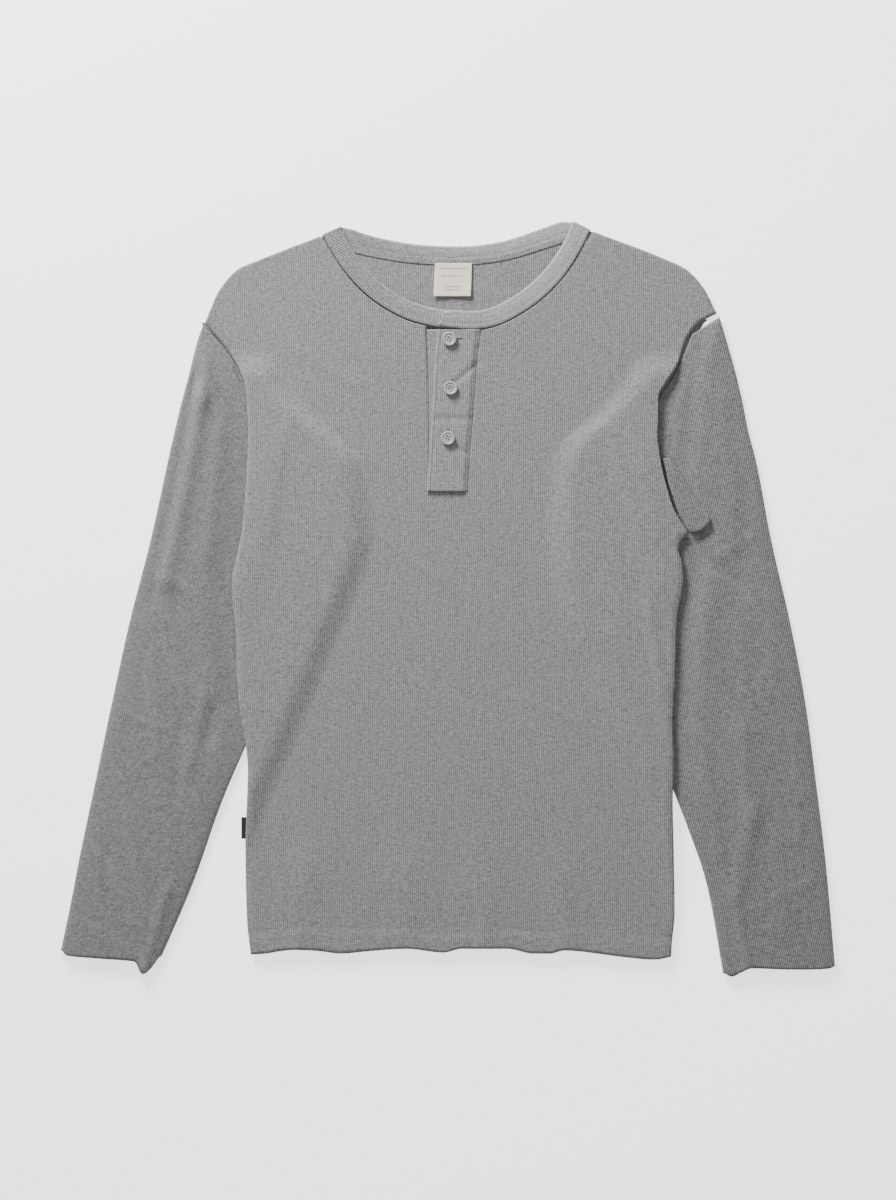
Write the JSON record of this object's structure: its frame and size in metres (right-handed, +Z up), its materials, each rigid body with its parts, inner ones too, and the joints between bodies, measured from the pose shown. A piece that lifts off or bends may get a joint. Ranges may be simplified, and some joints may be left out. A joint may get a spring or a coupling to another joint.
{
  "type": "henley shirt",
  "caption": "Long-sleeved rib-knit henley shirt, laid flat, with a folded neckband and a short buttoned placket.",
  "frame": {"origin": "centre of the bounding box in plan, on the surface that the shirt lies on", "axes": "+Z up off the surface, +Y towards the neck, +X towards the wearer's left"},
  "size_m": [0.7121, 0.6925, 0.0104],
  "materials": {
    "knit": "grey marl cotton rib knit, matt",
    "rib": "grey marl coarser rib, matt",
    "button": "moulded grey four-hole button, satin",
    "label": "cream woven label",
    "tag": "near-black woven tab"
  },
  "bodies": {
    "root": {"front": "knit", "back": "knit", "sleeve_right": "knit", "sleeve_left": "knit", "neckband": "rib", "placket_under": "knit", "placket_top": "knit", "button_1": "button", "button_2": "button", "button_3": "button", "neck_label": "label", "side_tag": "tag"}
  },
  "joints": []
}
